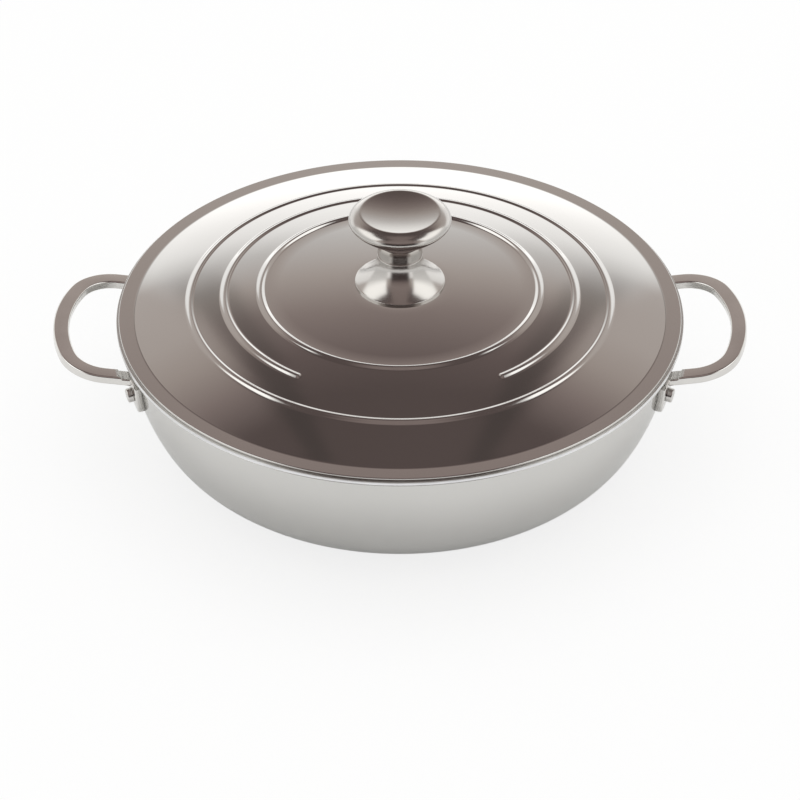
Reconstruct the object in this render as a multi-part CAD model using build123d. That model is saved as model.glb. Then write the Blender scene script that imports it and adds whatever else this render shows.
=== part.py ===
from build123d import *
from math import asin, atan2, cos, degrees, radians, sin, sqrt
import os

# Shallow casserole with a domed lid, in millimetres.
# Z is up, the pan stands on z = 0 and its axis is the Z axis. The handles lie along X.

# Pan
mouth_radius = 150.0
outer_ply = 0.6
core_ply = 1.6
lining_ply = 0.5
pan_height = 82.4
corner_radius = 49.0
side_radius = 105.0
side_angle = 26.0
flare_radius = 3.0
lip_width = 2.6

# Handles
loop_projection = 41.8
handle_half_width = 50.8
bar_width = 8.8
bar_thickness = 5.0
bar_rounding = 1.0
loop_corner = 28.0
loop_depth = 32.4
handle_tilt = 7.0
handle_drop = 12.1
relief_depth = 0.8
relief_gap = 2.7
lug_thickness = 3.9
lug_width = 16.0
lug_spread = 4.0
lug_tail = 3.5
rivet_drop = 21.1
seat_gap = 0.05
bar_end_gap = 0.5

# Rivets
rivet_radius = 2.5
rivet_clearance = 0.05
rivet_head_radius = 4.0
rivet_head_height = 3.2
rivet_head_rounding = 0.8
rivet_tail_radius = 5.0
rivet_tail_height = 1.2

# Lid
lid_sheet = 0.8
flange_overlap = 1.3
lid_play = 0.8
step_depth = 3.0
dome_radius = 600.0
crown_width = 74.0
crown_rise = 1.8
bead_width = 6.0
bead_height = 1.2
outer_bead = 116.5
middle_bead = 97.6
inner_bead = 78.0
badge_gap_angle = 68.0

# Knob
knob_seat_margin = 2.0
skirt_radius = 25.0
skirt_lip = 3.0
skirt_height = 19.4
neck_radius = 12.5
knob_joint = 0.5
knob_height = 47.0
cap_radius = 28.3
cap_edge_drop = 5.2
cap_rim_radius = 24.2
dish_radius = 21.5
dish_depth = 3.6
neck_length = 7.0

# Knob fixing
insert_radius = 5.0
insert_clearance = 0.05
insert_depth = 13.0
insert_lift = 1.0
insert_end = 1.0
screw_radius = 2.5
screw_clearance = 0.1
lid_hole_clearance = 0.3
screw_reach = 16.0
screw_head_radius = 4.75
screw_head_height = 3.0
drive_radius = 1.7
drive_depth = 1.6
washer_radius = 8.0
washer_thickness = 1.0

wall = outer_ply + core_ply + lining_ply
outer_radius = mouth_radius + wall
slant = radians(side_angle)
arc_gap = side_radius - corner_radius
base_radius = outer_radius - side_radius + arc_gap * cos(slant)
side_centre = (outer_radius - side_radius, corner_radius + arc_gap * sin(slant))
flare_start = pan_height - wall - flare_radius
lip_radius = outer_radius + flare_radius + lip_width

handle_reach = outer_radius + loop_projection
bar_top = pan_height - handle_drop
bar_centre = handle_half_width - bar_width / 2
bar_root = sqrt(outer_radius**2 - bar_centre**2)
tilt = radians(handle_tilt)
bar_span = handle_reach - bar_root - bar_rounding - (bar_thickness - bar_rounding) * sin(tilt)
loop_tip = bar_root + bar_span / cos(tilt) + bar_rounding
lug_angle = degrees(asin((bar_centre + lug_spread) / outer_radius))
rivet_height = pan_height - rivet_drop

flange_radius = lip_radius - flange_overlap
flange_base = pan_height
flange_top = flange_base + 2 * lid_sheet
step_radius = mouth_radius - lid_play
dome_foot = step_radius - lid_sheet
dome_centre = flange_top - sqrt(dome_radius**2 - dome_foot**2)
plate_top = dome_centre + sqrt(dome_radius**2 - crown_width**2) + crown_rise
plate_radius = skirt_radius + knob_seat_margin
plate_base = plate_top - lid_sheet


def at(radius, height):
    """Gives a point of the XZ half-plane, where every turned profile is drawn."""
    return Vector(radius, 0, height)


def arc_between(centre, radius, start, end):
    """Draws an arc of the XZ half-plane from one angle to another, in degrees."""
    angles = (start, (start + end) / 2, end)
    points = [
        at(centre[0] + radius * cos(radians(angle)), centre[1] + radius * sin(radians(angle)))
        for angle in angles
    ]
    return ThreePointArc(*points)


def turned(edges):
    """Turns a closed profile about the Z axis."""
    return revolve(Face(Wire(edges)), Axis.Z, 360)


def wall_edges(depth, lip):
    """Follows the pan wall's section at a depth inside its outer face, from the axis to the lip."""
    flare_centre = (outer_radius + flare_radius, flare_start)
    corner = arc_between((base_radius, corner_radius), corner_radius - depth, -90, -side_angle)
    side = arc_between(side_centre, side_radius - depth, -side_angle, 0)
    flare = arc_between(flare_centre, flare_radius + depth, 180, 90)
    return [
        Line(at(0, depth), corner @ 0),
        corner,
        side,
        Line(side @ 1, flare @ 0),
        flare,
        Line(flare @ 1, at(lip, flare_start + flare_radius + depth)),
    ]


def bowl(depth, thickness):
    """Makes one layer of the pan wall, from a depth inside the outer face."""
    outside = wall_edges(depth, lip_radius)
    inside = wall_edges(depth + thickness, lip_radius)
    edge = Line(outside[-1] @ 1, inside[-1] @ 1)
    axis = Line(outside[0] @ 0, inside[0] @ 0)
    return turned(outside + inside + [edge, axis])


def wall_radius(height, depth=0.0):
    """Gives the wall's radius at a height on its upper side, at a depth inside the outer face."""
    if height >= side_centre[1]:
        return outer_radius - depth
    fall = side_centre[1] - height
    return side_centre[0] + sqrt((side_radius - depth) ** 2 - fall**2)


def rivet_plane(side, end):
    """Places a rivet on the outer face of the wall, square to it. side is +1 or -1 along X."""
    around = radians(lug_angle) * end
    fall = (side_centre[1] - rivet_height) / side_radius
    level = sqrt(1 - fall**2)
    out = Vector(side * cos(around), sin(around), 0)
    along = Vector(-side * sin(around), cos(around), 0)
    radius = wall_radius(rivet_height)
    origin = out * radius + Vector(0, 0, rivet_height)
    return Plane(origin=origin, x_dir=along, z_dir=out * level - Vector(0, 0, fall))


def rivet_bores():
    """Makes the four bores that the rivets pass through."""
    reach = lug_thickness + wall + 4
    bores = []
    for side in (1, -1):
        for end in (1, -1):
            place = rivet_plane(side, end).offset(lug_thickness + 2 - reach)
            bores.append(
                extrude(place * Circle(rivet_radius + rivet_clearance), amount=reach)
            )
    return bores


def make_pan_layer(depth, thickness):
    """Makes one layer of the pan with its rivet bores."""
    layer = bowl(depth, thickness)
    for bore in rivet_bores():
        layer -= bore
    return layer


def lug_band():
    """Makes the ring of metal outside the wall that the lugs are cut from."""
    top = bar_top - relief_depth
    low = rivet_height - lug_width
    steps = 12
    heights = [low + (top - low) * step / steps for step in range(steps + 1)]
    inner = [at(wall_radius(height) + seat_gap, height) for height in heights]
    outer = [at(wall_radius(height) + lug_thickness, height) for height in heights]
    edges = [
        Spline(*inner),
        Line(inner[-1], outer[-1]),
        Spline(*outer),
        Line(outer[0], inner[0]),
    ]
    return turned(edges)


def wall_keep_out():
    """Makes the space that a handle's bar stays out of, so that it ends in the lug's metal."""
    return Pos(0, 0, pan_height / 2) * Cylinder(outer_radius + bar_end_gap, pan_height)


def loop_outline():
    """Makes the loop's flat shape: two straight arms, two corner arcs and a wide arc at the tip."""
    inset = handle_half_width - loop_corner
    arm_end = loop_tip - loop_depth
    tip_radius = (loop_depth**2 + inset**2 - loop_corner**2) / (2 * (loop_depth - loop_corner))
    tip_centre = loop_tip - tip_radius
    turn = degrees(atan2(inset, arm_end - tip_centre))
    root = outer_radius / 2
    edges = []
    for drop in (0, bar_width):
        half = handle_half_width - drop
        edges += [
            Line((root, half), (arm_end, half)),
            CenterArc((arm_end, inset), loop_corner - drop, turn, 90 - turn),
            CenterArc((tip_centre, 0), tip_radius - drop, -turn, 2 * turn),
            CenterArc((arm_end, -inset), loop_corner - drop, -90, 90 - turn),
            Line((arm_end, -half), (root, -half)),
        ]
    for end in (1, -1):
        low = end * (handle_half_width - bar_width)
        edges.append(Line((root, low), (root, end * handle_half_width)))
    return make_face(edges)


def make_handle(side):
    """Makes one looped handle with its two lugs. side is +1 or -1 along X."""
    bar = extrude(Pos(0, 0, bar_top - bar_thickness) * loop_outline(), amount=bar_thickness)
    ends = bar.faces().filter_by(Axis.X).sort_by(Axis.X)[:2]
    end_edges = [edge for face in ends for edge in face.edges()]
    rims = [
        edge
        for edge in bar.edges().filter_by(Plane.XY)
        if not any((edge.center() - other.center()).length < 0.01 for other in end_edges)
    ]
    bar = fillet(rims, bar_rounding)
    relief = Cylinder(lip_radius + relief_gap, 2 * relief_depth)
    bar -= Pos(0, 0, bar_top) * relief
    pivot = Pos(bar_root, 0, bar_top)
    bar = pivot * Rot(0, -handle_tilt, 0) * Pos(-bar_root, 0, -bar_top) * bar
    bar -= wall_keep_out()
    band = lug_band()
    handle = bar
    for end in (1, -1):
        around = lug_angle * end
        face_plane = Plane(
            origin=(0, 0, rivet_height),
            x_dir=(-sin(radians(around)), cos(radians(around)), 0),
            z_dir=(cos(radians(around)), sin(radians(around)), 0),
        )
        rise = bar_top - rivet_height
        foot = Pos(0, -lug_tail) * Circle(lug_width / 2)
        shape = foot + Pos(0, (rise - lug_tail) / 2) * Rectangle(lug_width, rise + lug_tail)
        prism = extrude(face_plane * shape, amount=outer_radius + 4 * lug_thickness)
        handle += band & prism
    if side < 0:
        handle = mirror(handle, about=Plane.YZ)
    for bore in rivet_bores():
        handle -= bore
    return handle


def cavity(depth):
    """Makes the space inside the wall at a depth from its outer face."""
    edges = wall_edges(depth, lip_radius)[:4]
    top = edges[-1] @ 1
    edges += [Line(top, at(0, top.Z)), Line(at(0, top.Z), edges[0] @ 0)]
    return turned(edges)


def make_rivet(side, end):
    """Makes one rivet: a button head on the lug, a shank and a low head inside the pan."""
    place = rivet_plane(side, end)
    head_plane = place.offset(lug_thickness)
    head = extrude(head_plane * Circle(rivet_head_radius), amount=rivet_head_height)
    face = head.faces().sort_by(lambda each: (each.center() - place.origin).length)[-1]
    head = fillet(face.edges(), rivet_head_rounding)
    tail_plane = place.offset(-wall - rivet_tail_height)
    shank_length = lug_thickness + wall + rivet_tail_height / 2
    shank_plane = place.offset(lug_thickness - shank_length)
    shank = extrude(shank_plane * Circle(rivet_radius), amount=shank_length)
    tail = extrude(tail_plane * Circle(rivet_tail_radius), amount=2 * rivet_tail_height)
    tail &= cavity(wall + seat_gap)
    return head + shank + tail


def dome_angle(radius):
    """Gives the angle from the X axis, in degrees, at which the dome reaches a radius."""
    return 90 - degrees(asin(radius / dome_radius))


def dome_point(radius, lift):
    """Gives a point over the dome's top face at a radius, lifted square to it."""
    angle = radians(dome_angle(radius))
    reach = dome_radius + lift
    return at(reach * cos(angle), dome_centre + reach * sin(angle))


def bead_arc(radius, depth, spread=0.0, sink=0.0):
    """Draws the section of a raised bead over the dome's face at a depth."""
    half = bead_width / 2 + spread
    return ThreePointArc(
        dome_point(radius - half, -depth - sink),
        dome_point(radius, bead_height - depth),
        dome_point(radius + half, -depth - sink),
    )


def lid_face(depth):
    """Follows the lid's section from the axis to the dome's foot, at a depth in the sheet."""
    span = crown_width - plate_radius
    crown = (span**2 + crown_rise**2) / (2 * crown_rise)
    crown_end = 90 - degrees(asin(span / crown))
    crown_arc = arc_between((plate_radius, plate_top - crown), crown - depth, 90, crown_end)
    stops = [
        (crown_width, inner_bead - bead_width / 2),
        (inner_bead + bead_width / 2, outer_bead - bead_width / 2),
        (outer_bead + bead_width / 2, dome_foot),
    ]
    arcs = [
        arc_between((0, dome_centre), dome_radius - depth, dome_angle(near), dome_angle(far))
        for near, far in stops
    ]
    edges = [Line(at(0, plate_top - depth), crown_arc @ 0), crown_arc]
    if depth > 0:
        edges.append(Line(crown_arc @ 1, arcs[0] @ 0))
    beads = [bead_arc(inner_bead, depth), bead_arc(outer_bead, depth)]
    return edges + beads + arcs


def middle_bead_ring(depth):
    """Makes the bead that stops short of the plain field at the front of the lid."""
    sink = bead_height / 8
    arc = bead_arc(middle_bead, depth, spread=sink, sink=sink)
    around = 360 - badge_gap_angle
    ring = revolve(Face(Wire([arc, Line(arc @ 1, arc @ 0)])), Axis.Z, around)
    return ring.rotate(Axis.Z, badge_gap_angle / 2 - 90)


def make_lid_shell():
    """Makes the lid: a flange with a folded hem, a locating lip, a dome with beads and a plate."""
    outline = [
        dome_point(dome_foot, 0),
        at(flange_radius, flange_top),
        at(flange_radius, flange_base),
        at(step_radius, flange_base),
        at(step_radius, flange_base - step_depth),
        at(dome_foot, flange_base - step_depth),
        dome_point(dome_foot, -lid_sheet),
    ]
    rim = [Line(start, end) for start, end in zip(outline, outline[1:])]
    axis = Line(at(0, plate_top), at(0, plate_base))
    shell = turned(lid_face(0) + rim + lid_face(lid_sheet) + [axis])
    shell += middle_bead_ring(0)
    shell -= middle_bead_ring(lid_sheet)
    hole = Cylinder(screw_radius + lid_hole_clearance, 6 * lid_sheet)
    return shell - Pos(0, 0, plate_base) * hole


def make_knob_skirt():
    """Makes the knob's flared foot, which stands on the lid's centre plate."""
    foot = at(skirt_radius, plate_top + skirt_lip)
    top = at(neck_radius, plate_top + skirt_height)
    bore = insert_radius + insert_clearance
    flare = Spline(
        foot,
        top,
        tangents=[Vector(-1, 0, 0.25), Vector(0, 0, 1)],
    )
    edges = [
        Line(at(bore, plate_top), at(skirt_radius, plate_top)),
        Line(at(skirt_radius, plate_top), foot),
        flare,
        Line(top, at(bore, top.Z)),
        Line(at(bore, top.Z), at(bore, plate_top)),
    ]
    return turned(edges)


def make_knob_cap():
    """Makes the knob's mushroom cap with its dished top, its neck and the insert's blind bore."""
    base = plate_top + skirt_height
    joint = neck_radius - knob_joint
    neck_end = at(neck_radius, base + neck_length)
    widest = at(cap_radius, plate_top + knob_height - cap_edge_drop)
    rim = at(cap_rim_radius, plate_top + knob_height)
    dish_edge = at(dish_radius, rim.Z - knob_joint)
    dish_low = at(0, rim.Z - dish_depth)
    dish = (dish_radius**2 + (dish_edge.Z - dish_low.Z) ** 2) / (2 * (dish_edge.Z - dish_low.Z))
    halfway = dish_radius / 2
    dish_mid = at(halfway, dish_low.Z + dish - sqrt(dish**2 - halfway**2))
    up = Vector(0, 0, 1)
    edges = [
        Line(at(0, base), at(joint, base)),
        Line(at(joint, base), at(joint, base + 2 * knob_joint)),
        Line(at(joint, base + 2 * knob_joint), at(neck_radius, base + 2 * knob_joint)),
        Line(at(neck_radius, base + 2 * knob_joint), neck_end),
        Spline(neck_end, widest, tangents=[up, up], tangent_scalars=[1.2, 0.7]),
        Spline(widest, rim, tangents=[up, Vector(-1, 0, 0)]),
        Line(rim, dish_edge),
        ThreePointArc(dish_edge, dish_mid, dish_low),
        Line(dish_low, at(0, base)),
    ]
    cap = turned(edges)
    align = (Align.CENTER, Align.CENTER, Align.MIN)
    bore = Cylinder(insert_radius + insert_clearance, insert_depth, align=align)
    return cap - Pos(0, 0, base) * bore


def make_knob_insert():
    """Makes the threaded bush inside the knob that the screw pulls down."""
    low = plate_top + insert_lift
    length = skirt_height - insert_lift + insert_depth
    align = (Align.CENTER, Align.CENTER, Align.MIN)
    bush = Cylinder(insert_radius, length, align=align)
    bore = Cylinder(screw_radius + screw_clearance, length - insert_end, align=align)
    return Pos(0, 0, low) * (bush - bore)


def make_knob_washer():
    """Makes the washer between the screw's head and the lid."""
    low = plate_base - washer_thickness
    align = (Align.CENTER, Align.CENTER, Align.MIN)
    disc = Cylinder(washer_radius, washer_thickness, align=align)
    hole = Cylinder(screw_radius + lid_hole_clearance, washer_thickness, align=align)
    return Pos(0, 0, low) * (disc - hole)


def make_knob_screw():
    """Makes the screw that holds the knob, with its head under the lid."""
    seat = plate_base - washer_thickness
    align = (Align.CENTER, Align.CENTER, Align.MIN)
    head = Cylinder(screw_head_radius, screw_head_height, align=align)
    head = fillet(head.edges().sort_by(Axis.Z)[:1], screw_head_height / 3)
    drive = extrude(RegularPolygon(drive_radius, 6), amount=drive_depth)
    shank = Cylinder(screw_radius, screw_reach + screw_head_height, align=align)
    screw = Pos(0, 0, -screw_head_height) * (head + shank - drive)
    return Pos(0, 0, seat) * screw


def main():
    os.makedirs("parts", exist_ok=True)
    pieces = {
        "pan_outer_ply": make_pan_layer(0.0, outer_ply),
        "pan_aluminium_core": make_pan_layer(outer_ply, core_ply),
        "pan_inner_lining": make_pan_layer(outer_ply + core_ply, lining_ply),
        "right_handle": make_handle(1),
        "left_handle": make_handle(-1),
        "right_back_rivet": make_rivet(1, 1),
        "right_front_rivet": make_rivet(1, -1),
        "left_back_rivet": make_rivet(-1, 1),
        "left_front_rivet": make_rivet(-1, -1),
        "lid_shell": make_lid_shell(),
        "knob_skirt": make_knob_skirt(),
        "knob_cap": make_knob_cap(),
        "knob_insert": make_knob_insert(),
        "knob_washer": make_knob_washer(),
        "knob_screw": make_knob_screw(),
    }
    for name, shape in pieces.items():
        export_step(shape, f"parts/{name}.step")


if __name__ == "__main__":
    main()
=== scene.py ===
from math import cos, radians, sin, sqrt

import bmesh
import bpy
import numpy as np
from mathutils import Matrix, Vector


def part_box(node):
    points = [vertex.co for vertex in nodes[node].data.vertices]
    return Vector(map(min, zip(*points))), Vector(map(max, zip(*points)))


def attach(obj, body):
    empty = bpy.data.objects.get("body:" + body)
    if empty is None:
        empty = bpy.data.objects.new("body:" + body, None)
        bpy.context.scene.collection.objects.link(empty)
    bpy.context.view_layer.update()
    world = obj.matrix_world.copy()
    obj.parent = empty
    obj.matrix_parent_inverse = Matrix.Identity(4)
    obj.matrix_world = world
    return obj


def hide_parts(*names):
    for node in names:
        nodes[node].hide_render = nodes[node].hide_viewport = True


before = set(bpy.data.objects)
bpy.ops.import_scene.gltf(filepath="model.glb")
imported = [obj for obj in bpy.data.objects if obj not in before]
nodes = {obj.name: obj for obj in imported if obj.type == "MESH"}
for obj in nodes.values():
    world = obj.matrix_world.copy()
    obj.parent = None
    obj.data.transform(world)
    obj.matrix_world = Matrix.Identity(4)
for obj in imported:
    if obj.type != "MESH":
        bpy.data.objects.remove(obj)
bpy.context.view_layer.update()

mm = 0.001
print("frame loaded with", len(nodes), "nodes")


# Profiles are rows of (radius, height) in millimetres, walked with the metal on the right.

def arcRows(centre, radius, start, end, steps):
    # points on a circle, evenly spread from one angle to another, in degrees
    angle = np.radians(np.linspace(start, end, steps + 1))
    return np.stack([centre[0] + radius * np.cos(angle), centre[1] + radius * np.sin(angle)], axis=1)


def lineRows(start, end, steps):
    # points spread evenly on a straight run
    share = np.linspace(0, 1, steps + 1)[:, None]
    return np.asarray(start, float) * (1 - share) + np.asarray(end, float) * share


def bezierRows(start, pullOut, pullIn, end, steps):
    # a cubic curve: each point is the four controls weighted by the binomial terms of the share
    t = np.linspace(0, 1, steps + 1)[:, None]
    points = [np.asarray(point, float) for point in (start, pullOut, pullIn, end)]
    weights = [(1 - t) ** 3, 3 * t * (1 - t) ** 2, 3 * t**2 * (1 - t), t**3]
    return sum(weight * point for weight, point in zip(weights, points))


def roundedRows(corners, radii, steps=6):
    # a broken line whose inner corners become arcs tangent to both of their runs
    corners = np.asarray(corners, float)
    rows = [corners[:1]]
    for before, corner, after, radius in zip(corners, corners[1:], corners[2:], radii):
        back = (before - corner) / np.linalg.norm(before - corner)
        ahead = (after - corner) / np.linalg.norm(after - corner)
        half = np.arccos(np.clip(back @ ahead, -1, 1)) / 2
        middle = (back + ahead) / np.linalg.norm(back + ahead)
        centre = corner + middle * radius / np.sin(half)
        first = corner + back * radius / np.tan(half) - centre
        last = corner + ahead * radius / np.tan(half) - centre
        turn = np.pi - 2 * half
        share = np.linspace(0, 1, steps + 1)[:, None]
        spoke = np.sin((1 - share) * turn) * first + np.sin(share * turn) * last
        rows.append(centre + spoke / np.sin(turn))
    rows.append(corners[-1:])
    return np.concatenate(rows)


def joinRows(*parts):
    # joins runs end to end and drops the points that two runs share
    rows = np.concatenate(parts)
    step = np.linalg.norm(np.diff(rows, axis=0), axis=1)
    return rows[np.concatenate([[True], step > 1e-6])]


def softStep(value):
    # 0 up to 0, 1 from 1 on, and between them three squares less two cubes
    share = np.clip(value, 0, 1)
    return share * share * (3 - 2 * share)


def cornerNormals(vertices, faces):
    # each vertex takes the mean of its faces' normals, weighted by the square of their areas
    total = np.zeros_like(vertices)
    for group in faces:
        corners = vertices[group]
        across = np.cross(corners[:, 2] - corners[:, 0], corners[:, -1] - corners[:, 1])
        if group.shape[1] == 3:
            across = np.cross(corners[:, 1] - corners[:, 0], corners[:, 2] - corners[:, 0])
        weighted = across * np.linalg.norm(across, axis=1)[:, None]
        for column in range(group.shape[1]):
            np.add.at(total, group[:, column], weighted)
    length = np.linalg.norm(total, axis=1)[:, None]
    return total / np.maximum(length, 1e-30)


def makePiece(name, vertices, faces, material, body, replaced=()):
    # puts arrays of vertices in millimetres and of faces into a smooth mesh that rides on a body
    mesh = bpy.data.meshes.new(name)
    lists = [face for group in faces for face in group.tolist()]
    mesh.from_pydata((vertices * mm).tolist(), [], lists)
    mesh.shade_smooth()
    mesh.normals_split_custom_set_from_vertices(cornerNormals(vertices, faces).tolist())
    mesh.update()
    piece = bpy.data.objects.new(name, mesh)
    bpy.context.scene.collection.objects.link(piece)
    mesh.materials.append(material)
    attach(piece, body)
    if replaced:
        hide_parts(*replaced)
    return piece


def gridFaces(rows, columns, closedRows, closedColumns):
    # joins a grid of rows times columns into quads, and wraps round where it is closed
    row = np.arange(rows if closedRows else rows - 1)
    column = np.arange(columns if closedColumns else columns - 1)
    i, j = np.meshgrid(row, column, indexing="ij")
    nextRow = (i + 1) % rows
    nextColumn = (j + 1) % columns
    quads = [(i, j), (nextRow, j), (nextRow, nextColumn), (i, nextColumn)]
    return np.stack([down * columns + across for down, across in quads], axis=-1).reshape(-1, 4)


def turnedGrid(profile, turn, lift=None):
    # turns the profile: x is radius times cosine, y is radius times sine, z is height plus a lift
    radius = profile[:, :1]
    height = np.repeat(profile[:, 1:], len(turn), axis=1)
    if lift is not None:
        height = height + lift
    return np.stack([radius * np.cos(turn), radius * np.sin(turn), height], axis=-1)


def turnedMesh(profile, turn, lift=None):
    # a closed ring when the profile ends where it starts, or a body closed by a pole at each end
    if np.allclose(profile[0], profile[-1]):
        grid = turnedGrid(profile[:-1], turn, lift)
        return grid.reshape(-1, 3), [gridFaces(len(profile) - 1, len(turn), True, True)]
    inner = turnedGrid(profile[1:-1], turn, lift)
    count = inner.shape[0] * inner.shape[1]
    poles = np.array([[0, 0, profile[0, 1]], [0, 0, profile[-1, 1]]])
    around = np.arange(len(turn))
    ahead = (around + 1) % len(turn)
    last = count - len(turn)
    firstFan = np.stack([np.full(len(turn), count), around, ahead], axis=1)
    lastFan = np.stack([last + around, np.full(len(turn), count + 1), last + ahead], axis=1)
    quads = gridFaces(inner.shape[0], len(turn), False, True)
    return np.concatenate([inner.reshape(-1, 3), poles]), [quads, np.concatenate([firstFan, lastFan])]


def evenTurn(count):
    # angles spread evenly round the axis
    return np.linspace(0, 2 * np.pi, count, endpoint=False)


# Materials

def newMaterial(name):
    material = bpy.data.materials.new(name)
    material.use_nodes = True
    tree = material.node_tree
    return material, tree, tree.nodes["Principled BSDF"]


def mathNode(tree, operation, first, second=None, third=None, clamp=False):
    # each of the inputs is a socket or a plain number
    node = tree.nodes.new("ShaderNodeMath")
    node.operation = operation
    node.use_clamp = clamp
    for socket, value in zip(node.inputs, (first, second, third)):
        if value is None:
            continue
        if isinstance(value, (int, float)):
            socket.default_value = value
        else:
            tree.links.new(value, socket)
    return node.outputs[0]


def axisDistance(tree, x, y):
    # the root of x squared plus y squared
    squares = [mathNode(tree, "MULTIPLY", part, part) for part in (x, y)]
    return mathNode(tree, "SQRT", mathNode(tree, "ADD", *squares))


def rampNode(tree, factor, stops):
    node = tree.nodes.new("ShaderNodeValToRGB")
    elements = node.color_ramp.elements
    while len(elements) < len(stops):
        elements.new(0.5)
    for element, (place, colour) in zip(elements, stops):
        element.position = place
        element.color = (*colour, 1)
    tree.links.new(factor, node.inputs[0])
    return node.outputs[0]


def mixColour(tree, factor, first, second):
    # the factor is a socket or a number, and the colours are sockets or rows of red, green and blue
    node = tree.nodes.new("ShaderNodeMix")
    node.data_type = "RGBA"
    for socket, value in zip((node.inputs[0], node.inputs[6], node.inputs[7]), (factor, first, second)):
        if isinstance(value, tuple):
            socket.default_value = (*value, 1)
        elif isinstance(value, (int, float)):
            socket.default_value = value
        else:
            tree.links.new(value, socket)
    return node.outputs[2]


def noiseNode(tree, vector, scale, detail, roughness):
    node = tree.nodes.new("ShaderNodeTexNoise")
    node.inputs["Scale"].default_value = scale
    node.inputs["Detail"].default_value = detail
    node.inputs["Roughness"].default_value = roughness
    tree.links.new(vector, node.inputs["Vector"])
    return node.outputs["Fac"]


def polishVector(tree, values):
    # where the metal was turned, the polish runs round the axis; where it was cast, along the bar
    place = tree.nodes.new("ShaderNodeTexCoord").outputs["Object"]
    split = tree.nodes.new("ShaderNodeSeparateXYZ")
    tree.links.new(place, split.inputs[0])
    x, y, z = split.outputs
    join = tree.nodes.new("ShaderNodeCombineXYZ")
    length = values["runLength"]
    if values["turned"]:
        around = mathNode(tree, "ARCTAN2", y, x)
        parts = (axisDistance(tree, x, y), mathNode(tree, "MULTIPLY", around, length), z)
    else:
        parts = (mathNode(tree, "MULTIPLY", x, length), mathNode(tree, "MULTIPLY", y, length), z)
    for part, socket in zip(parts, join.inputs):
        tree.links.new(part, socket)
    return place, join.outputs[0]


def steelMaterial(name, values):
    # steel whose colour drifts in broad patches, with fine polishing lines in its gloss and bump
    material, tree, shader = newMaterial(name)
    place, along = polishVector(tree, values)
    patches = noiseNode(tree, place, values["patchScale"], *values["patchNoise"])
    lines = noiseNode(tree, along, values["lineScale"], *values["lineNoise"])
    dark, light = values["patchEnds"]
    tint = rampNode(tree, patches, [(dark, values["shade"]), (light, values["colour"])])
    tree.links.new(tint, shader.inputs["Base Color"])
    shader.inputs["Metallic"].default_value = 1.0
    clearest = values["roughness"] - values["smear"] / 2
    smear = mathNode(tree, "MULTIPLY_ADD", patches, values["smear"], clearest)
    gloss = mathNode(tree, "MULTIPLY_ADD", lines, values["lineGloss"], smear, clamp=True)
    tree.links.new(gloss, shader.inputs["Roughness"])
    bump = tree.nodes.new("ShaderNodeBump")
    bump.inputs["Strength"].default_value = values["lineBump"]
    bump.inputs["Distance"].default_value = values["lineDepth"] * mm
    tree.links.new(lines, bump.inputs["Height"])
    tree.links.new(bump.outputs[0], shader.inputs["Normal"])
    return material


# what all the metals share unless their own rows say otherwise; noise is (detail, roughness)
polish = {
    "turned": True,
    "runLength": 0.02,
    "patchScale": 9.0,
    "patchNoise": (2.0, 0.5),
    "patchEnds": (0.35, 0.65),
    "smear": 0.03,
    "lineScale": 1500.0,
    "lineNoise": (4.0, 0.65),
    "lineGloss": 0.03,
    "lineBump": 0.05,
    "lineDepth": 0.02,
    "roughness": 0.07,
}
lidSteel = steelMaterial("lidSteel", {
    **polish, "colour": (0.60, 0.585, 0.57), "shade": (0.575, 0.56, 0.545),
})
panSteel = steelMaterial("panSteel", {
    **polish, "colour": (0.59, 0.582, 0.567), "shade": (0.565, 0.558, 0.543),
})
liningSteel = steelMaterial("liningSteel", {
    **polish, "colour": (0.60, 0.595, 0.58), "shade": (0.57, 0.565, 0.55), "roughness": 0.24,
    "lineScale": 900.0, "lineGloss": 0.10, "lineBump": 0.12, "lineDepth": 0.05,
})
# painted shade: the knob is the same steel as the lid, with its colour darkened to stand in for the
# dimmer light it mirrors
knobSteelPaintedShade = steelMaterial("knobSteelPaintedShade", {
    **polish, "colour": (0.55, 0.53, 0.51), "shade": (0.51, 0.49, 0.47), "roughness": 0.15,
    "lineGloss": 0.07, "lineBump": 0.10,
})
# painted light: the handles are the same steel as the pan, with their colour lightened to stand in for
# the bright floor they mirror
handleSteelPaintedLight = steelMaterial("handleSteelPaintedLight", {
    **polish, "colour": (0.70, 0.685, 0.665), "shade": (0.64, 0.625, 0.605), "turned": False,
    "runLength": 0.08, "roughness": 0.10, "patchScale": 40.0,
})
rivetSteel = steelMaterial("rivetSteel", {
    **polish, "colour": (0.62, 0.60, 0.58), "shade": (0.56, 0.545, 0.53), "turned": False,
    "runLength": 1.0, "roughness": 0.22, "patchScale": 160.0, "smear": 0.10,
})
fixingSteel = steelMaterial("fixingSteel", {
    **polish, "colour": (0.56, 0.56, 0.56), "shade": (0.50, 0.50, 0.50), "roughness": 0.30,
    "lineScale": 2200.0, "lineGloss": 0.10, "lineBump": 0.20,
})
coreMetal = steelMaterial("coreMetal", {
    **polish, "colour": (0.80, 0.80, 0.81), "shade": (0.70, 0.70, 0.71), "roughness": 0.42,
    "patchScale": 60.0, "smear": 0.12, "lineBump": 0.3,
})
print("materials made")


# Pan

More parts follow.
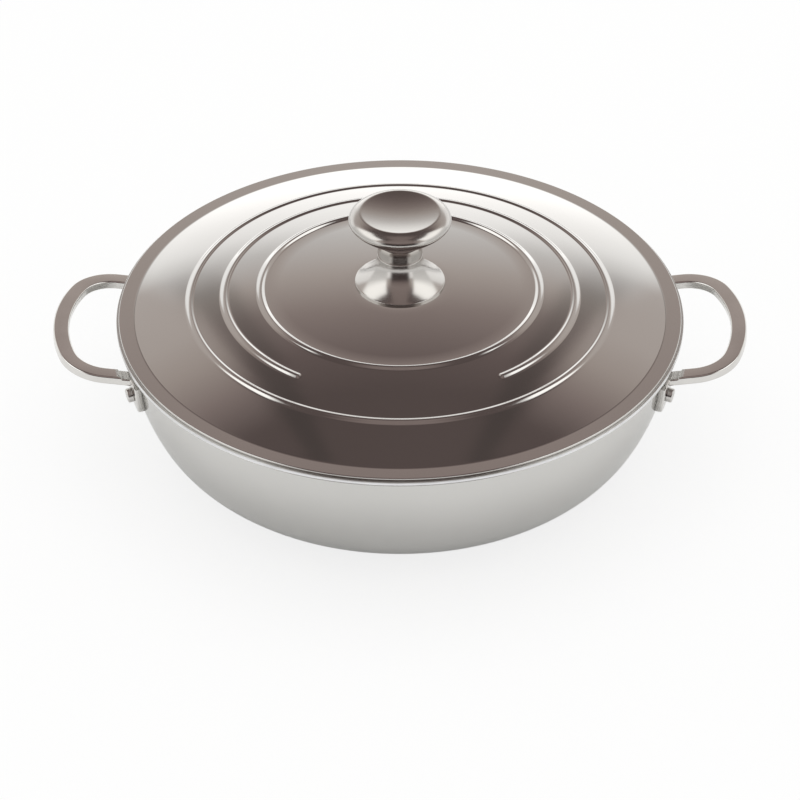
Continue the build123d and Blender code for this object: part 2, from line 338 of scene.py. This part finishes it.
pan = {
    "plies": (0.6, 1.6, 0.5),
    "cornerRadius": 49.0,
    "sideRadius": 105.0,
    "sideAngle": 26.0,
    "flareRadius": 3.0,
    "lipWidth": 2.6,
    "edgeRound": 0.22,
    "seam": 0.03,
    "baseSteps": 24,
    "cornerSteps": 28,
    "sideSteps": 26,
    "flareSteps": 14,
    "segments": 340,
}
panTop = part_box("pan_inner_lining")[1]
pan["height"] = panTop[2] / mm
pan["lip"] = panTop[0] / mm
pan["wall"] = sum(pan["plies"])
pan["outer"] = pan["lip"] - pan["lipWidth"] - pan["flareRadius"]
arcGap = pan["sideRadius"] - pan["cornerRadius"]
pan["base"] = pan["outer"] - pan["sideRadius"] + arcGap * cos(radians(pan["sideAngle"]))
pan["sideCentre"] = (
    pan["outer"] - pan["sideRadius"],
    pan["cornerRadius"] + arcGap * sin(radians(pan["sideAngle"])),
)
pan["flareStart"] = pan["height"] - pan["wall"] - pan["flareRadius"]


def wallRows(depth, lip):
    # the wall's section at a depth inside its outer face: base, two tangent arcs, upright, flare, lip
    lean = -pan["sideAngle"]
    cornerCentre = (pan["base"], pan["cornerRadius"])
    corner = arcRows(cornerCentre, pan["cornerRadius"] - depth, -90, lean, pan["cornerSteps"])
    side = arcRows(pan["sideCentre"], pan["sideRadius"] - depth, lean, 0, pan["sideSteps"])
    flareCentre = (pan["outer"] + pan["flareRadius"], pan["flareStart"])
    flare = arcRows(flareCentre, pan["flareRadius"] + depth, 180, 90, pan["flareSteps"])
    base = lineRows((0, depth), corner[0], pan["baseSteps"])
    end = (lip, pan["flareStart"] + pan["flareRadius"] + depth)
    return joinRows(base, corner, side, flare), end


def plyProfile(depth, thickness):
    # one layer of the wall, walked out along its inner face and back along its outer face
    outside, outsideEnd = wallRows(depth, pan["lip"] - pan["seam"])
    inside, insideEnd = wallRows(depth + thickness, pan["lip"] - pan["seam"])
    edge = roundedRows([inside[-1], insideEnd, outsideEnd, outside[-1]], [pan["edgeRound"]] * 2, 4)
    return joinRows(inside, edge, outside[::-1])


def makePan():
    turn = evenTurn(pan["segments"])
    finishes = [
        ("panOutside", "pan_outer_ply", panSteel, "outer_steel"),
        ("panCore", "pan_aluminium_core", coreMetal, "core_aluminium"),
        ("panLining", "pan_inner_lining", liningSteel, "inner_steel"),
    ]
    depth = 0.0
    for thickness, (name, node, material, slot) in zip(pan["plies"], finishes):
        vertices, faces = turnedMesh(plyProfile(depth, thickness), turn)
        makePiece(name, vertices, faces, material, "pan", [node])
        depth += thickness


makePan()
print("pan made")


# Lid

lid = {
    "sheet": 0.8,
    "domeRadius": 600.0,
    "domeFoot": 148.4,
    "footReach": 2.4,  # how far inside its foot the dome gives way to the hollow arc
    "footHollow": 6.0,
    "stepRadius": 149.2,
    "stepDepth": 3.0,
    "crownWidth": 74.0,
    "crownRise": 1.8,
    "crownDrop": 1.0,
    "plateRadius": 27.0,
    "plateMarks": (12.0, 20.0, 24.0),
    "hole": 2.8,
    "edgeRound": 0.55,
    "seatRound": 0.5,
    "lipRound": 0.35,
    "underRound": 0.3,
    "beads": (116.9, 97.6, 77.4),
    "beadInner": 2.2,
    "beadOuter": 3.2,
    "beadHeight": 0.8,
    "openBead": 1,
    "openAngle": 68.0,
    "noseSpread": 0.045,  # radians on both sides of an end of the open bead
    "noseTurns": 22,
    "segments": 360,
    "rowStep": 4.0,
    "leastStep": 0.2,
    "beadRows": 8,
}
lidLow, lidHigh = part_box("lid_shell")
lid["radius"] = lidHigh[0] / mm
lid["plateTop"] = lidHigh[2] / mm
lid["base"] = lidLow[2] / mm + lid["stepDepth"]
lid["top"] = lid["base"] + 2 * lid["sheet"]


def domeHeight(radius):
    # height over the flange's top: a sphere outside the crown, and inside it a shallower one that
    # starts a little lower at the inner bead's foot and ends in the flat seat under the knob
    centre = -sqrt(lid["domeRadius"] ** 2 - lid["domeFoot"] ** 2)
    dome = centre + np.sqrt(lid["domeRadius"] ** 2 - radius**2)
    edge = centre + sqrt(lid["domeRadius"] ** 2 - lid["crownWidth"] ** 2)
    rise = lid["crownRise"] + lid["crownDrop"]
    inside = np.clip(radius, lid["plateRadius"], lid["crownWidth"])
    fall = (inside**2 - lid["plateRadius"] ** 2) / (lid["crownWidth"] ** 2 - lid["plateRadius"] ** 2)
    crown = edge + lid["crownRise"] - rise * fall
    step = softStep((radius - lid["crownWidth"]) / (lid["beads"][-1] - lid["crownWidth"]))
    return crown + (dome - crown) * step


def beadLift(radius, turn):
    # a raised cosine falls quickly inwards and slowly outwards from each bead's crest; the open
    # bead ends in a round nose on each side of the front
    total = np.zeros(np.broadcast(radius, turn).shape)
    off = np.abs((turn + np.pi / 2 + np.pi) % (2 * np.pi) - np.pi)
    gap = np.radians(lid["openAngle"] / 2)
    for index, bead in enumerate(lid["beads"]):
        reach = np.where(radius < bead, lid["beadInner"], lid["beadOuter"]) + np.zeros_like(total)
        distance = np.abs(radius - bead) / reach
        if index == lid["openBead"]:
            miss = np.maximum(gap - off, 0)
            distance = np.hypot(distance, bead * np.sin(miss) / lid["beadInner"])
        share = np.clip(distance, 0, 1)
        total += lid["beadHeight"] * 0.5 * (1 + np.cos(np.pi * share))
    return total


def lidTurn():
    # even turns, with more of them near the noses of the open bead
    gap = radians(lid["openAngle"] / 2)
    extra = np.linspace(-lid["noseSpread"], lid["noseSpread"], lid["noseTurns"])
    noses = np.concatenate([extra + gap, extra - gap]) - np.pi / 2
    return np.unique(np.round(np.concatenate([evenTurn(lid["segments"]), noses % (2 * np.pi)]), 5))


def domeRows():
    # rows of the dome's top from the hole to its foot, closer together over the beads
    end = lid["domeFoot"] - lid["footReach"]
    marks = [
        np.array([lid["hole"], *lid["plateMarks"], lid["plateRadius"]]),
        np.arange(lid["plateRadius"], end, lid["rowStep"]),
    ]
    for bead in lid["beads"]:
        marks.append(np.linspace(bead - lid["beadInner"], bead, lid["beadRows"]))
        marks.append(np.linspace(bead, bead + lid["beadOuter"], lid["beadRows"]))
    radius = np.unique(np.round(np.concatenate(marks), 2))
    radius = radius[np.concatenate([[True], np.diff(radius) > lid["leastStep"]])]
    return np.stack([radius, domeHeight(radius)], axis=1)


def makeLid():
    # the dome's top, then a hollow arc to the flange, its hem, the locating lip and the underside
    dome = domeRows()
    foot = dome[-1]
    hem = lid["base"] - lid["top"]
    low = hem - lid["stepDepth"]
    corners = [
        foot,
        (lid["domeFoot"], 0),
        (lid["radius"], 0),
        (lid["radius"], hem),
        (lid["stepRadius"], hem),
        (lid["stepRadius"], low),
        (lid["domeFoot"], low),
        (lid["domeFoot"], -lid["sheet"]),
        foot - (0, lid["sheet"]),
    ]
    edge, lip = lid["edgeRound"], lid["lipRound"]
    radii = [lid["footHollow"], edge, edge, lid["seatRound"], lip, lip, lid["underRound"]]
    under = dome[::-1] - (0, lid["sheet"])
    profile = joinRows(dome, roundedRows(corners, radii), under, dome[:1]) + (0, lid["top"])
    turn = lidTurn()
    lift = beadLift(profile[:-1, :1], turn[None, :])
    vertices, faces = turnedMesh(profile, turn, lift)
    makePiece("lidShell", vertices, faces, lidSteel, "lid", ["lid_shell"])


makeLid()
print("lid made")


# Knob

# pulls are (outwards, up) from the place that the row's name gives
knob = {
    "skirtRadius": 25.0,
    "skirtLip": 2.3,
    "skirtHeight": 19.4,
    "flareFromNeck": ((0.0, -0.4), (0.2, -7.0)),
    "flareFromLip": ((-7.2, 4.6), (-0.6, 0.3)),
    "neck": 12.5,
    "neckLength": 7.0,
    "height": 47.0,
    "capRadius": 28.3,
    "capDrop": 5.2,
    "dishRadius": 21.0,
    "dishCurve": 120.0,
    "rimWidth": 0.75,
    "rimRise": 0.05,
    "rimRound": 3.0,
    "browFromRim": ((0.9, -0.24), (2.9, -0.77)),
    "browPull": 2.8,
    "bellyPull": 2.6,
    "bellyFromNeck": ((5.2, 5.6), (1.6, 2.9)),
    "throatFromNeck": ((-0.1, 1.9), (-0.35, 1.2), (-0.30, -2.2)),
    "seamHeight": 1.0,
    "seamDepth": 0.5,
    "seamRound": 0.12,
    "seamEdge": 0.3,
    "bore": 5.05,
    "boreDepth": 13.0,
    "boreRound": 0.3,
    "boreMouth": 0.2,
    "edgeRound": 0.35,
    "segments": 256,
}


def makeSkirt(base, skirtTop, turn):
    # a bell: one cubic curve falls from the neck to the lip, round an upright bore
    neckEdge = np.array([knob["neck"], skirtTop])
    lipEdge = np.array([knob["skirtRadius"], base + knob["skirtLip"]])
    bore = knob["bore"]
    radii = [knob["boreRound"], knob["edgeRound"]]
    fromNeck = [neckEdge + pull for pull in knob["flareFromNeck"]]
    fromLip = [lipEdge + pull for pull in knob["flareFromLip"]]
    flare = bezierRows(*fromNeck, *fromLip, 40)
    head = roundedRows([(bore, base), (bore, skirtTop), neckEdge, flare[0]], radii, 5)
    low = (knob["skirtRadius"], base)
    foot = roundedRows([flare[-1], lipEdge, low, (bore, base)], radii[::-1], 5)
    vertices, faces = turnedMesh(joinRows(head, flare, foot), turn)
    return makePiece("knobSkirt", vertices, faces, knobSteelPaintedShade, "lid", ["knob_skirt"])


def makeCap(base, skirtTop, turn):
    # a mushroom: a shallow dished arc, a rounded rim, a brow curve to the widest place, a belly
    # curve back to the neck, a seam over the skirt and the bush's blind bore
    top = base + knob["height"]
    widest = np.array([knob["capRadius"], top - knob["capDrop"]])
    rim = np.array([knob["dishRadius"] + knob["rimWidth"], top + knob["rimRise"]])
    reach = np.arcsin(knob["dishRadius"] / knob["dishCurve"])
    dishHeight = rim[1] - knob["rimWidth"] * np.tan(reach) + knob["dishCurve"] * np.cos(reach)
    dish = arcRows((0, dishHeight), knob["dishCurve"], -90, -90 + np.degrees(reach), 26)
    browStart, browOut = [rim + pull for pull in knob["browFromRim"]]
    lipOver = roundedRows([dish[-1], rim, browStart], [knob["rimRound"]], 8)
    brow = bezierRows(browStart, browOut, widest + (0, knob["browPull"]), widest, 24)
    neckTop = np.array([knob["neck"], skirtTop + knob["neckLength"]])
    bellyPulls = [neckTop + pull for pull in knob["bellyFromNeck"]]
    belly = bezierRows(widest, widest - (0, knob["bellyPull"]), *bellyPulls, 26)
    throatPulls = [neckTop + pull for pull in knob["throatFromNeck"]]
    throat = bezierRows(belly[-1], *throatPulls, 12)
    seam = skirtTop + knob["seamHeight"]
    spigot = knob["neck"] - knob["seamDepth"]
    boreTop = skirtTop + knob["boreDepth"]
    corners = [
        throat[-1],
        (knob["neck"], seam),
        (spigot, seam),
        (spigot, skirtTop),
        (knob["bore"], skirtTop),
        (knob["bore"], boreTop),
        (0, boreTop),
    ]
    radii = [knob[word] for word in ("seamEdge", "seamRound", "seamRound", "boreMouth", "boreRound")]
    end = roundedRows(corners, radii, 4)
    vertices, faces = turnedMesh(joinRows(dish, lipOver, brow, belly, throat, end), turn)
    return makePiece("knobCap", vertices, faces, knobSteelPaintedShade, "lid", ["knob_cap"])


def makeKnob():
    base = lid["plateTop"]
    skirtTop = base + knob["skirtHeight"]
    turn = evenTurn(knob["segments"])
    pieces = [makeSkirt(base, skirtTop, turn), makeCap(base, skirtTop, turn)]
    for node in ("knob_insert", "knob_washer", "knob_screw"):
        nodes[node].data.materials.clear()
        nodes[node].data.materials.append(fixingSteel)
    # the photographed lid shows no mirror image of its knob
    for hidden in (*pieces, nodes["knob_insert"], nodes["knob_screw"]):
        hidden.visible_glossy = False


makeKnob()
print("knob made")


# Handles

handle = {
    "barWidth": 8.8,
    "barThickness": 5.0,
    "edgeRound": 1.0,
    "halfWidth": 50.8,
    "loopCorner": 28.0,
    "loopDepth": 32.4,
    "tilt": 7.0,
    "drop": 12.1,
    "reliefDepth": 0.8,
    "reliefGap": 2.7,
    "reliefFade": 0.5,
    "armRows": 60,
    "cornerRows": 40,
    "tipRows": 18,
    "lugThickness": 3.9,
    "lugWidth": 16.0,
    "lugRound": 0.9,
    "lugSpread": 4.0,
    "lugTail": 3.5,
    "lugRows": 14,
    "lugTurns": 41,
    "rivetDrop": 21.1,
    "seat": 0.06,
}
handle["reach"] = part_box("right_handle")[1][0] / mm
handle["top"] = pan["height"] - handle["drop"]
handle["centre"] = handle["halfWidth"] - handle["barWidth"] / 2
handle["root"] = sqrt(pan["outer"] ** 2 - handle["centre"] ** 2)
handle["lugAngle"] = np.arcsin((handle["centre"] + handle["lugSpread"]) / pan["outer"])
handle["rivetHeight"] = pan["height"] - handle["rivetDrop"]


def barSection():
    # a rectangle with rounded edges, as rows of (outwards, up) round the bar's middle
    wide = handle["barWidth"] / 2
    thick = handle["barThickness"] / 2
    box = [(0, thick), (wide, thick), (wide, -thick), (-wide, -thick), (-wide, thick), (0, thick)]
    return roundedRows(box, [handle["edgeRound"]] * 4)[:-1]


def wallRadius(height):
    # the side arc's centre plus the root of its radius squared less the fall squared
    fall = np.maximum(pan["sideCentre"][1] - height, 0)
    return pan["sideCentre"][0] + np.sqrt(pan["sideRadius"] ** 2 - fall**2)


def bendRows(centre, radius, angle):
    # an arc of the loop, as rows of x, y and the two parts of the outward direction
    away = np.stack([np.cos(angle), np.sin(angle)], axis=1)
    return np.concatenate([centre + radius * away, away], axis=1)


def loopPath():
    # the bar's middle line in plan, from the front root to the tip: a straight arm, a corner arc
    # and half of a wide arc, as rows of x, y and the two parts of the outward direction
    tilt = radians(handle["tilt"])
    rounding = handle["edgeRound"]
    shift = rounding + (handle["barThickness"] - rounding) * sin(tilt)
    tip = handle["root"] + (handle["reach"] - handle["root"] - shift) / cos(tilt) + rounding
    depth = handle["loopDepth"]
    corner = handle["loopCorner"]
    inset = handle["halfWidth"] - corner
    wide = (depth**2 + inset**2 - corner**2) / (2 * (depth - corner))
    armEnd = tip - depth
    turn = np.arctan2(inset, armEnd - tip + wide)
    x = np.linspace(handle["root"], armEnd, handle["armRows"])
    arm = np.stack([x, 0 * x - handle["centre"], 0 * x, 0 * x - 1], axis=1)
    halfBar = handle["barWidth"] / 2
    cornerAngle = np.linspace(-np.pi / 2, -turn, handle["cornerRows"])[1:]
    tipAngle = np.linspace(-turn, 0, handle["tipRows"])[1:]
    bend = bendRows((armEnd, -inset), corner - halfBar, cornerAngle)
    end = bendRows((tip - wide, 0), wide - halfBar, tipAngle)
    return np.concatenate([arm, bend, end]), armEnd


def makeBar(side):
    # the section carried along the loop, then turned up about the roots; the arms end on the wall
    section = barSection()
    out = section[:, 0][None, :]
    up = section[:, 1][None, :] - handle["barThickness"] / 2
    path, armEnd = loopPath()
    path = np.concatenate([path, path[-2::-1] * (1, -1, 1, -1)])
    x = path[:, :1] + path[:, 2:3] * out
    y = path[:, 1:2] + path[:, 3:4] * out
    tilt = radians(handle["tilt"])
    # stretch each line of an arm so that it starts on the wall
    wallX = np.sqrt((pan["outer"] + handle["seat"]) ** 2 - y**2)
    startX = handle["root"] + (wallX - handle["root"] + up * sin(tilt)) / cos(tilt)
    share = (x - handle["root"]) / (armEnd - handle["root"])
    x = np.where(share < 1, startX + share * (armEnd - startX), x)
    # the top side sinks a little under the lip
    relief = softStep((pan["lip"] + handle["reliefGap"] - np.hypot(x, y)) / handle["reliefFade"])
    up = up - handle["reliefDepth"] * relief * (up > -handle["barThickness"] / 2)
    along = x - handle["root"]
    x = handle["root"] + along * cos(tilt) - up * sin(tilt)
    z = handle["top"] + along * sin(tilt) + up * cos(tilt)
    grid = np.stack([side * x, y, z], axis=-1)
    rows, columns = grid.shape[:2]
    quads = gridFaces(rows, columns, False, True)
    caps = []
    middles = []
    for row in (0, rows - 1):
        ring = row * columns + np.arange(columns)
        middle = np.full(columns, rows * columns + len(middles))
        middles.append(grid[row].mean(axis=0))
        ends = (np.roll(ring, -1), ring) if row == 0 else (ring, np.roll(ring, -1))
        caps.append(np.stack([middle, *ends], axis=1))
    vertices = np.concatenate([grid.reshape(-1, 3), np.array(middles)])
    return vertices, [quads, np.concatenate(caps)]


def makeLug(side, end):
    # a plate with a round foot that hugs the wall: (along the wall, up) from the outline stepped
    # inwards, and thickness from a flat back, an upright side, a rounded edge and a flat face
    half = handle["lugWidth"] / 2
    thick = handle["lugThickness"]
    soft = handle["lugRound"]
    seat = handle["seat"]
    back = [(half, seat), (half / 2, seat), (0, seat), (0, thick / 2)]
    edge = arcRows((soft, thick - soft), soft, 180, 90, 6)
    section = np.concatenate([back, edge, [(half / 2, thick), (half, thick)]])
    inset, rise = section[:, 0][None, :], section[:, 1][None, :]
    reach = half - inset
    tail = handle["lugTail"]
    plateTop = handle["top"] - handle["reliefDepth"] - handle["rivetHeight"] + tail
    straight = np.linspace(plateTop, 0, handle["lugRows"])[:-1, None]
    angle = np.radians(np.linspace(0, 180, handle["lugTurns"]))[:, None]
    across = np.concatenate([0 * straight - reach, -reach * np.cos(angle), 0 * straight + reach])
    up = np.concatenate([straight + 0 * inset, -reach * np.sin(angle), straight[::-1] + 0 * inset])
    height = handle["rivetHeight"] - tail + up
    radius = wallRadius(height) + rise
    around = end * handle["lugAngle"] + across / pan["outer"]
    grid = np.stack([side * radius * np.cos(around), radius * np.sin(around), height], axis=-1)
    rows, columns = grid.shape[:2]
    quads = gridFaces(rows, columns, False, False)
    ring = np.concatenate([np.arange(columns), (rows - 1) * columns + np.arange(columns)[::-1]])
    cap = np.stack([np.full(len(ring), rows * columns), ring, np.roll(ring, -1)], axis=1)
    middle = (grid[0].mean(axis=0) + grid[-1].mean(axis=0)) / 2
    return np.concatenate([grid.reshape(-1, 3), middle[None]]), [quads, cap]


def joinMeshes(parts):
    # stacks meshes and shifts each one's indices past the vertices before it
    vertices, quads, triangles, start = [], [], [], 0
    for points, faces in parts:
        vertices.append(points)
        for group in faces:
            (quads if group.shape[1] == 4 else triangles).append(group + start)
        start += len(points)
    groups = [np.concatenate(group) for group in (quads, triangles) if group]
    return np.concatenate(vertices), groups


def facingOut(piece):
    # merges doubles and turns the faces of each closed shell outwards
    work = bmesh.new()
    work.from_mesh(piece.data)
    bmesh.ops.remove_doubles(work, verts=work.verts, dist=0.002 * mm)
    bmesh.ops.dissolve_degenerate(work, edges=work.edges, dist=0.001 * mm)
    bmesh.ops.recalc_face_normals(work, faces=work.faces)
    work.to_mesh(piece.data)
    work.free()
    piece.data.shade_smooth()
    weighted = piece.modifiers.new("weighted", "WEIGHTED_NORMAL")
    weighted.weight = 80


def makeHandle(side, name, node):
    parts = [makeBar(side)] + [makeLug(side, end) for end in (1, -1)]
    vertices, faces = joinMeshes(parts)
    piece = makePiece(name, vertices, faces, handleSteelPaintedLight, "pan", [node])
    facingOut(piece)


rivet = {
    "radius": 2.5,
    "head": 4.0,
    "headHeight": 3.2,
    "headRound": 0.8,
    "seatRound": 0.15,
    "tail": 5.0,
    "tailHeight": 1.2,
    "tailGap": 0.1,
    "tailTaper": 0.6,
    "tailRound": 0.1,
    "tailEdge": 0.5,
    "segments": 48,
}


def rivetProfile():
    # a button head on the lug, a shank through the wall and a low tail inside the pan
    seat = handle["lugThickness"]
    top = seat + rivet["headHeight"]
    inside = -pan["wall"] - rivet["tailGap"]
    low = -pan["wall"] - rivet["tailHeight"]
    corners = [
        (0, top),
        (rivet["head"], top),
        (rivet["head"], seat),
        (rivet["radius"], seat),
        (rivet["radius"], inside),
        (rivet["tail"], inside),
        (rivet["tail"] - rivet["tailTaper"], low),
        (0, low),
    ]
    radii = [rivet["headRound"], rivet["seatRound"], *[rivet["tailRound"]] * 3, rivet["tailEdge"]]
    return roundedRows(corners, radii, 5)


def makeRivet(side, end, name, node):
    # the turned profile stood on the wall's normal at the lug
    vertices, faces = turnedMesh(rivetProfile(), evenTurn(rivet["segments"]))
    around = end * handle["lugAngle"]
    fall = (pan["sideCentre"][1] - handle["rivetHeight"]) / pan["sideRadius"]
    level = sqrt(1 - fall**2)
    away = np.array([side * np.cos(around), np.sin(around), 0])
    normal = away * level - np.array([0, 0, fall])
    along = np.array([-np.sin(around) * side, np.cos(around), 0])
    upward = np.cross(normal, along)
    seat = away * wallRadius(handle["rivetHeight"]) + np.array([0, 0, handle["rivetHeight"]])
    placed = seat + vertices[:, :1] * along + vertices[:, 1:2] * upward + vertices[:, 2:] * normal
    piece = makePiece(name, placed, faces, rivetSteel, "pan", [node])
    facingOut(piece)


for side, word in ((1, "right"), (-1, "left")):
    makeHandle(side, word + "Handle", word + "_handle")
    for end, place in ((1, "back"), (-1, "front")):
        makeRivet(side, end, word + place.title() + "Rivet", f"{word}_{place}_rivet")
print("handles and rivets made")


# Floor, light and camera

# an edge is where a mask starts or ends and how wide its fade is, in the cosine of the turn away
# from straight behind the object, or in the sine of the elevation where it is a foot or a top
studio = {
    "glow": 1.7,
    "ambient": 0.85,
    "backEdge": (0.93, 0.015),
    "frontEdge": (-0.70, 0.14),
    "gapMiddle": 0.954,
    "gapEdge": (0.0152, 0.008),
    "gapFoot": (0.40, 0.10),
    "gapDepth": 0.45,
    "gapColour": (0.03, 0.028, 0.026),
    "boxMiddle": -0.02,
    "boxEdge": (0.58, 0.08),
    "boxTop": (0.88, 0.04),
    "floorHalf": 40.0,
    "floorNear": 4.0,
    "floorMiddle": 1.0,
    "floorGap": 0.0002,
    "floorColour": (0.90, 0.90, 0.89),
    "floorSeen": 0.80,
    "floorMirrored": 0.06,
    "lampPower": 16.0,
    "lampSize": 2.4,
    "lampBack": 0.2,
    "lampHeight": 2.2,
}
# stops of the studio's brightness by the sine of the elevation, behind, beside and before the object
behind = [
    (0.0, 1.0), (0.16, 1.0), (0.25, 0.87), (0.34, 0.74), (0.42, 0.47), (0.53, 0.295), (0.61, 0.170),
    (0.72, 0.088), (0.81, 0.060), (0.95, 0.062), (0.99, 0.14),
]
beside = [
    (0.0, 0.80), (0.34, 0.72), (0.42, 0.35), (0.60, 0.32), (0.68, 0.26), (0.76, 0.15), (0.83, 0.062),
    (0.95, 0.062), (0.99, 0.14),
]
before = [(0.0, 0.035), (0.45, 0.03), (0.60, 0.12), (0.75, 0.17), (0.95, 0.15), (0.99, 0.14)]
boxLight = [(0.0, (0.50, 0.50, 0.49)), (0.40, (0.58, 0.58, 0.57)), (0.60, (1.0, 1.0, 0.98))]
# the share of red and of blue against green at three brightnesses
warmth = {"at": (0.08, 0.27, 0.5), "red": (1.29, 1.14, 1.0), "blue": (0.95, 0.92, 0.99)}


def warmStops(stops):
    # the dimmer the studio is, the warmer its grey
    place, green = np.array(stops).T
    red = green * np.interp(green, warmth["at"], warmth["red"])
    blue = green * np.interp(green, warmth["at"], warmth["blue"])
    return list(zip(place.tolist(), np.stack([red, green, blue], axis=1).tolist()))


def fadeIn(tree, value, start, width):
    # 0 up to the start, then a straight rise to 1 over the width
    return mathNode(tree, "MULTIPLY_ADD", value, 1 / width, -start / width, clamp=True)


def fadeOut(tree, value, end, width):
    # a straight fall from 1 over the width, to 0 from the end on
    return mathNode(tree, "MULTIPLY_ADD", value, -1 / width, end / width, clamp=True)


def distanceFrom(tree, value, middle):
    return mathNode(tree, "ABSOLUTE", mathNode(tree, "SUBTRACT", value, middle))


def studioColour(tree):
    # brightness by elevation behind, beside and before the object, then the gap and the side boxes
    direction = tree.nodes.new("ShaderNodeTexCoord").outputs["Generated"]
    split = tree.nodes.new("ShaderNodeSeparateXYZ")
    tree.links.new(direction, split.inputs[0])
    x, y, z = split.outputs
    # facing is 1 straight behind the object and -1 where the camera of the photograph stands
    level = mathNode(tree, "MAXIMUM", axisDistance(tree, x, y), 0.001)
    facing = mathNode(tree, "DIVIDE", y, level)
    back, side, front = [rampNode(tree, z, warmStops(stops)) for stops in (behind, beside, before)]
    colour = mixColour(tree, fadeIn(tree, facing, *studio["backEdge"]), side, back)
    colour = mixColour(tree, fadeOut(tree, facing, *studio["frontEdge"]), colour, front)
    # a dim gap at the edge of the lit background
    gap = fadeOut(tree, distanceFrom(tree, facing, studio["gapMiddle"]), *studio["gapEdge"])
    gap = mathNode(tree, "MULTIPLY", gap, fadeIn(tree, z, *studio["gapFoot"]))
    gap = mathNode(tree, "MULTIPLY", gap, studio["gapDepth"])
    colour = mixColour(tree, gap, colour, studio["gapColour"])
    # a tall soft box on each side, from the horizon almost to overhead
    box = fadeOut(tree, distanceFrom(tree, facing, studio["boxMiddle"]), *studio["boxEdge"])
    box = mathNode(tree, "MULTIPLY", box, fadeOut(tree, z, *studio["boxTop"]))
    return mixColour(tree, box, colour, rampNode(tree, z, boxLight))


def makeWorld():
    # mirror rays see the studio, the camera sees plain white, and all other rays an even grey
    world = bpy.data.worlds.new("studio")
    bpy.context.scene.world = world
    world.use_nodes = True
    tree = world.node_tree
    tree.nodes.clear()
    output = tree.nodes.new("ShaderNodeOutputWorld")
    background = tree.nodes.new("ShaderNodeBackground")
    tree.links.new(background.outputs[0], output.inputs[0])
    glowing = tree.nodes.new("ShaderNodeVectorMath")
    glowing.operation = "SCALE"
    glowing.inputs["Scale"].default_value = studio["glow"]
    tree.links.new(studioColour(tree), glowing.inputs[0])
    rays = tree.nodes.new("ShaderNodeLightPath")
    even = (studio["ambient"],) * 3
    seen = mixColour(tree, rays.outputs["Is Glossy Ray"], even, glowing.outputs[0])
    clear = mathNode(tree, "MAXIMUM", rays.outputs["Is Camera Ray"], rays.outputs["Is Transmission Ray"])
    seen = mixColour(tree, clear, seen, (1.0, 1.0, 1.0))
    tree.links.new(seen, background.inputs[0])


def floorMaterial():
    # a pale matt floor that glows a little to the camera, so that it runs into the white behind
    material, tree, shader = newMaterial("paleFloor")
    tree.nodes.remove(shader)
    plain = tree.nodes.new("ShaderNodeBsdfDiffuse")
    plain.inputs["Color"].default_value = (*studio["floorColour"], 1)
    light = tree.nodes.new("ShaderNodeEmission")
    mix = tree.nodes.new("ShaderNodeMixShader")
    rays = tree.nodes.new("ShaderNodeLightPath")
    seen = mathNode(tree, "MAXIMUM", rays.outputs["Is Camera Ray"], rays.outputs["Is Transmission Ray"])
    tree.links.new(mathNode(tree, "MULTIPLY", seen, studio["floorSeen"]), mix.inputs[0])
    tree.links.new(plain.outputs[0], mix.inputs[1])
    tree.links.new(light.outputs[0], mix.inputs[2])
    # metal sees a little more light from the floor than the floor's own shade gives
    extra = tree.nodes.new("ShaderNodeEmission")
    mirrored = mathNode(tree, "MULTIPLY", rays.outputs["Is Glossy Ray"], studio["floorMirrored"])
    tree.links.new(mirrored, extra.inputs["Strength"])
    total = tree.nodes.new("ShaderNodeAddShader")
    tree.links.new(mix.outputs[0], total.inputs[0])
    tree.links.new(extra.outputs[0], total.inputs[1])
    tree.links.new(total.outputs[0], tree.nodes["Material Output"].inputs[0])
    return material


def makeFloor():
    # a flat grid, finer in the middle, that lies a hair below the pan's base
    half, near, middle = studio["floorHalf"], studio["floorNear"], studio["floorMiddle"]
    steps = np.concatenate([[-half, -near], np.linspace(-middle, middle, 9), [near, half]])
    x, y = np.meshgrid(steps, steps, indexing="ij")
    corners = np.stack([x, y, 0 * x - studio["floorGap"]], axis=-1).reshape(-1, 3)
    mesh = bpy.data.meshes.new("floor")
    mesh.from_pydata(corners.tolist(), [], gridFaces(len(steps), len(steps), False, False).tolist())
    floor = bpy.data.objects.new("floor", mesh)
    bpy.context.scene.collection.objects.link(floor)
    mesh.materials.append(floorMaterial())


def makeLamp():
    data = bpy.data.lights.new("overheadSoftBox", "AREA")
    data.shape = "SQUARE"
    data.size = studio["lampSize"]
    data.energy = studio["lampPower"]
    lamp = bpy.data.objects.new("overheadSoftBox", data)
    lamp.location = (0, studio["lampBack"], studio["lampHeight"])
    lamp.visible_glossy = False
    bpy.context.scene.collection.objects.link(lamp)


view = {"lens": 128.66, "sensor": 36.0, "back": 1.3210, "up": 0.9028, "pitch": 36.22, "farthest": 200.0}


def makeCamera():
    data = bpy.data.cameras.new("photoView")
    data.lens = view["lens"]
    data.sensor_width = view["sensor"]
    data.clip_end = view["farthest"]
    camera = bpy.data.objects.new("photoView", data)
    camera.location = (0, -view["back"], lid["top"] * mm + view["up"])
    camera.rotation_euler = (radians(90 - view["pitch"]), 0, 0)
    bpy.context.scene.collection.objects.link(camera)
    bpy.context.scene.camera = camera


makeWorld()
makeFloor()
makeLamp()
makeCamera()
bpy.context.scene.view_settings.view_transform = "Standard"
print("studio made")
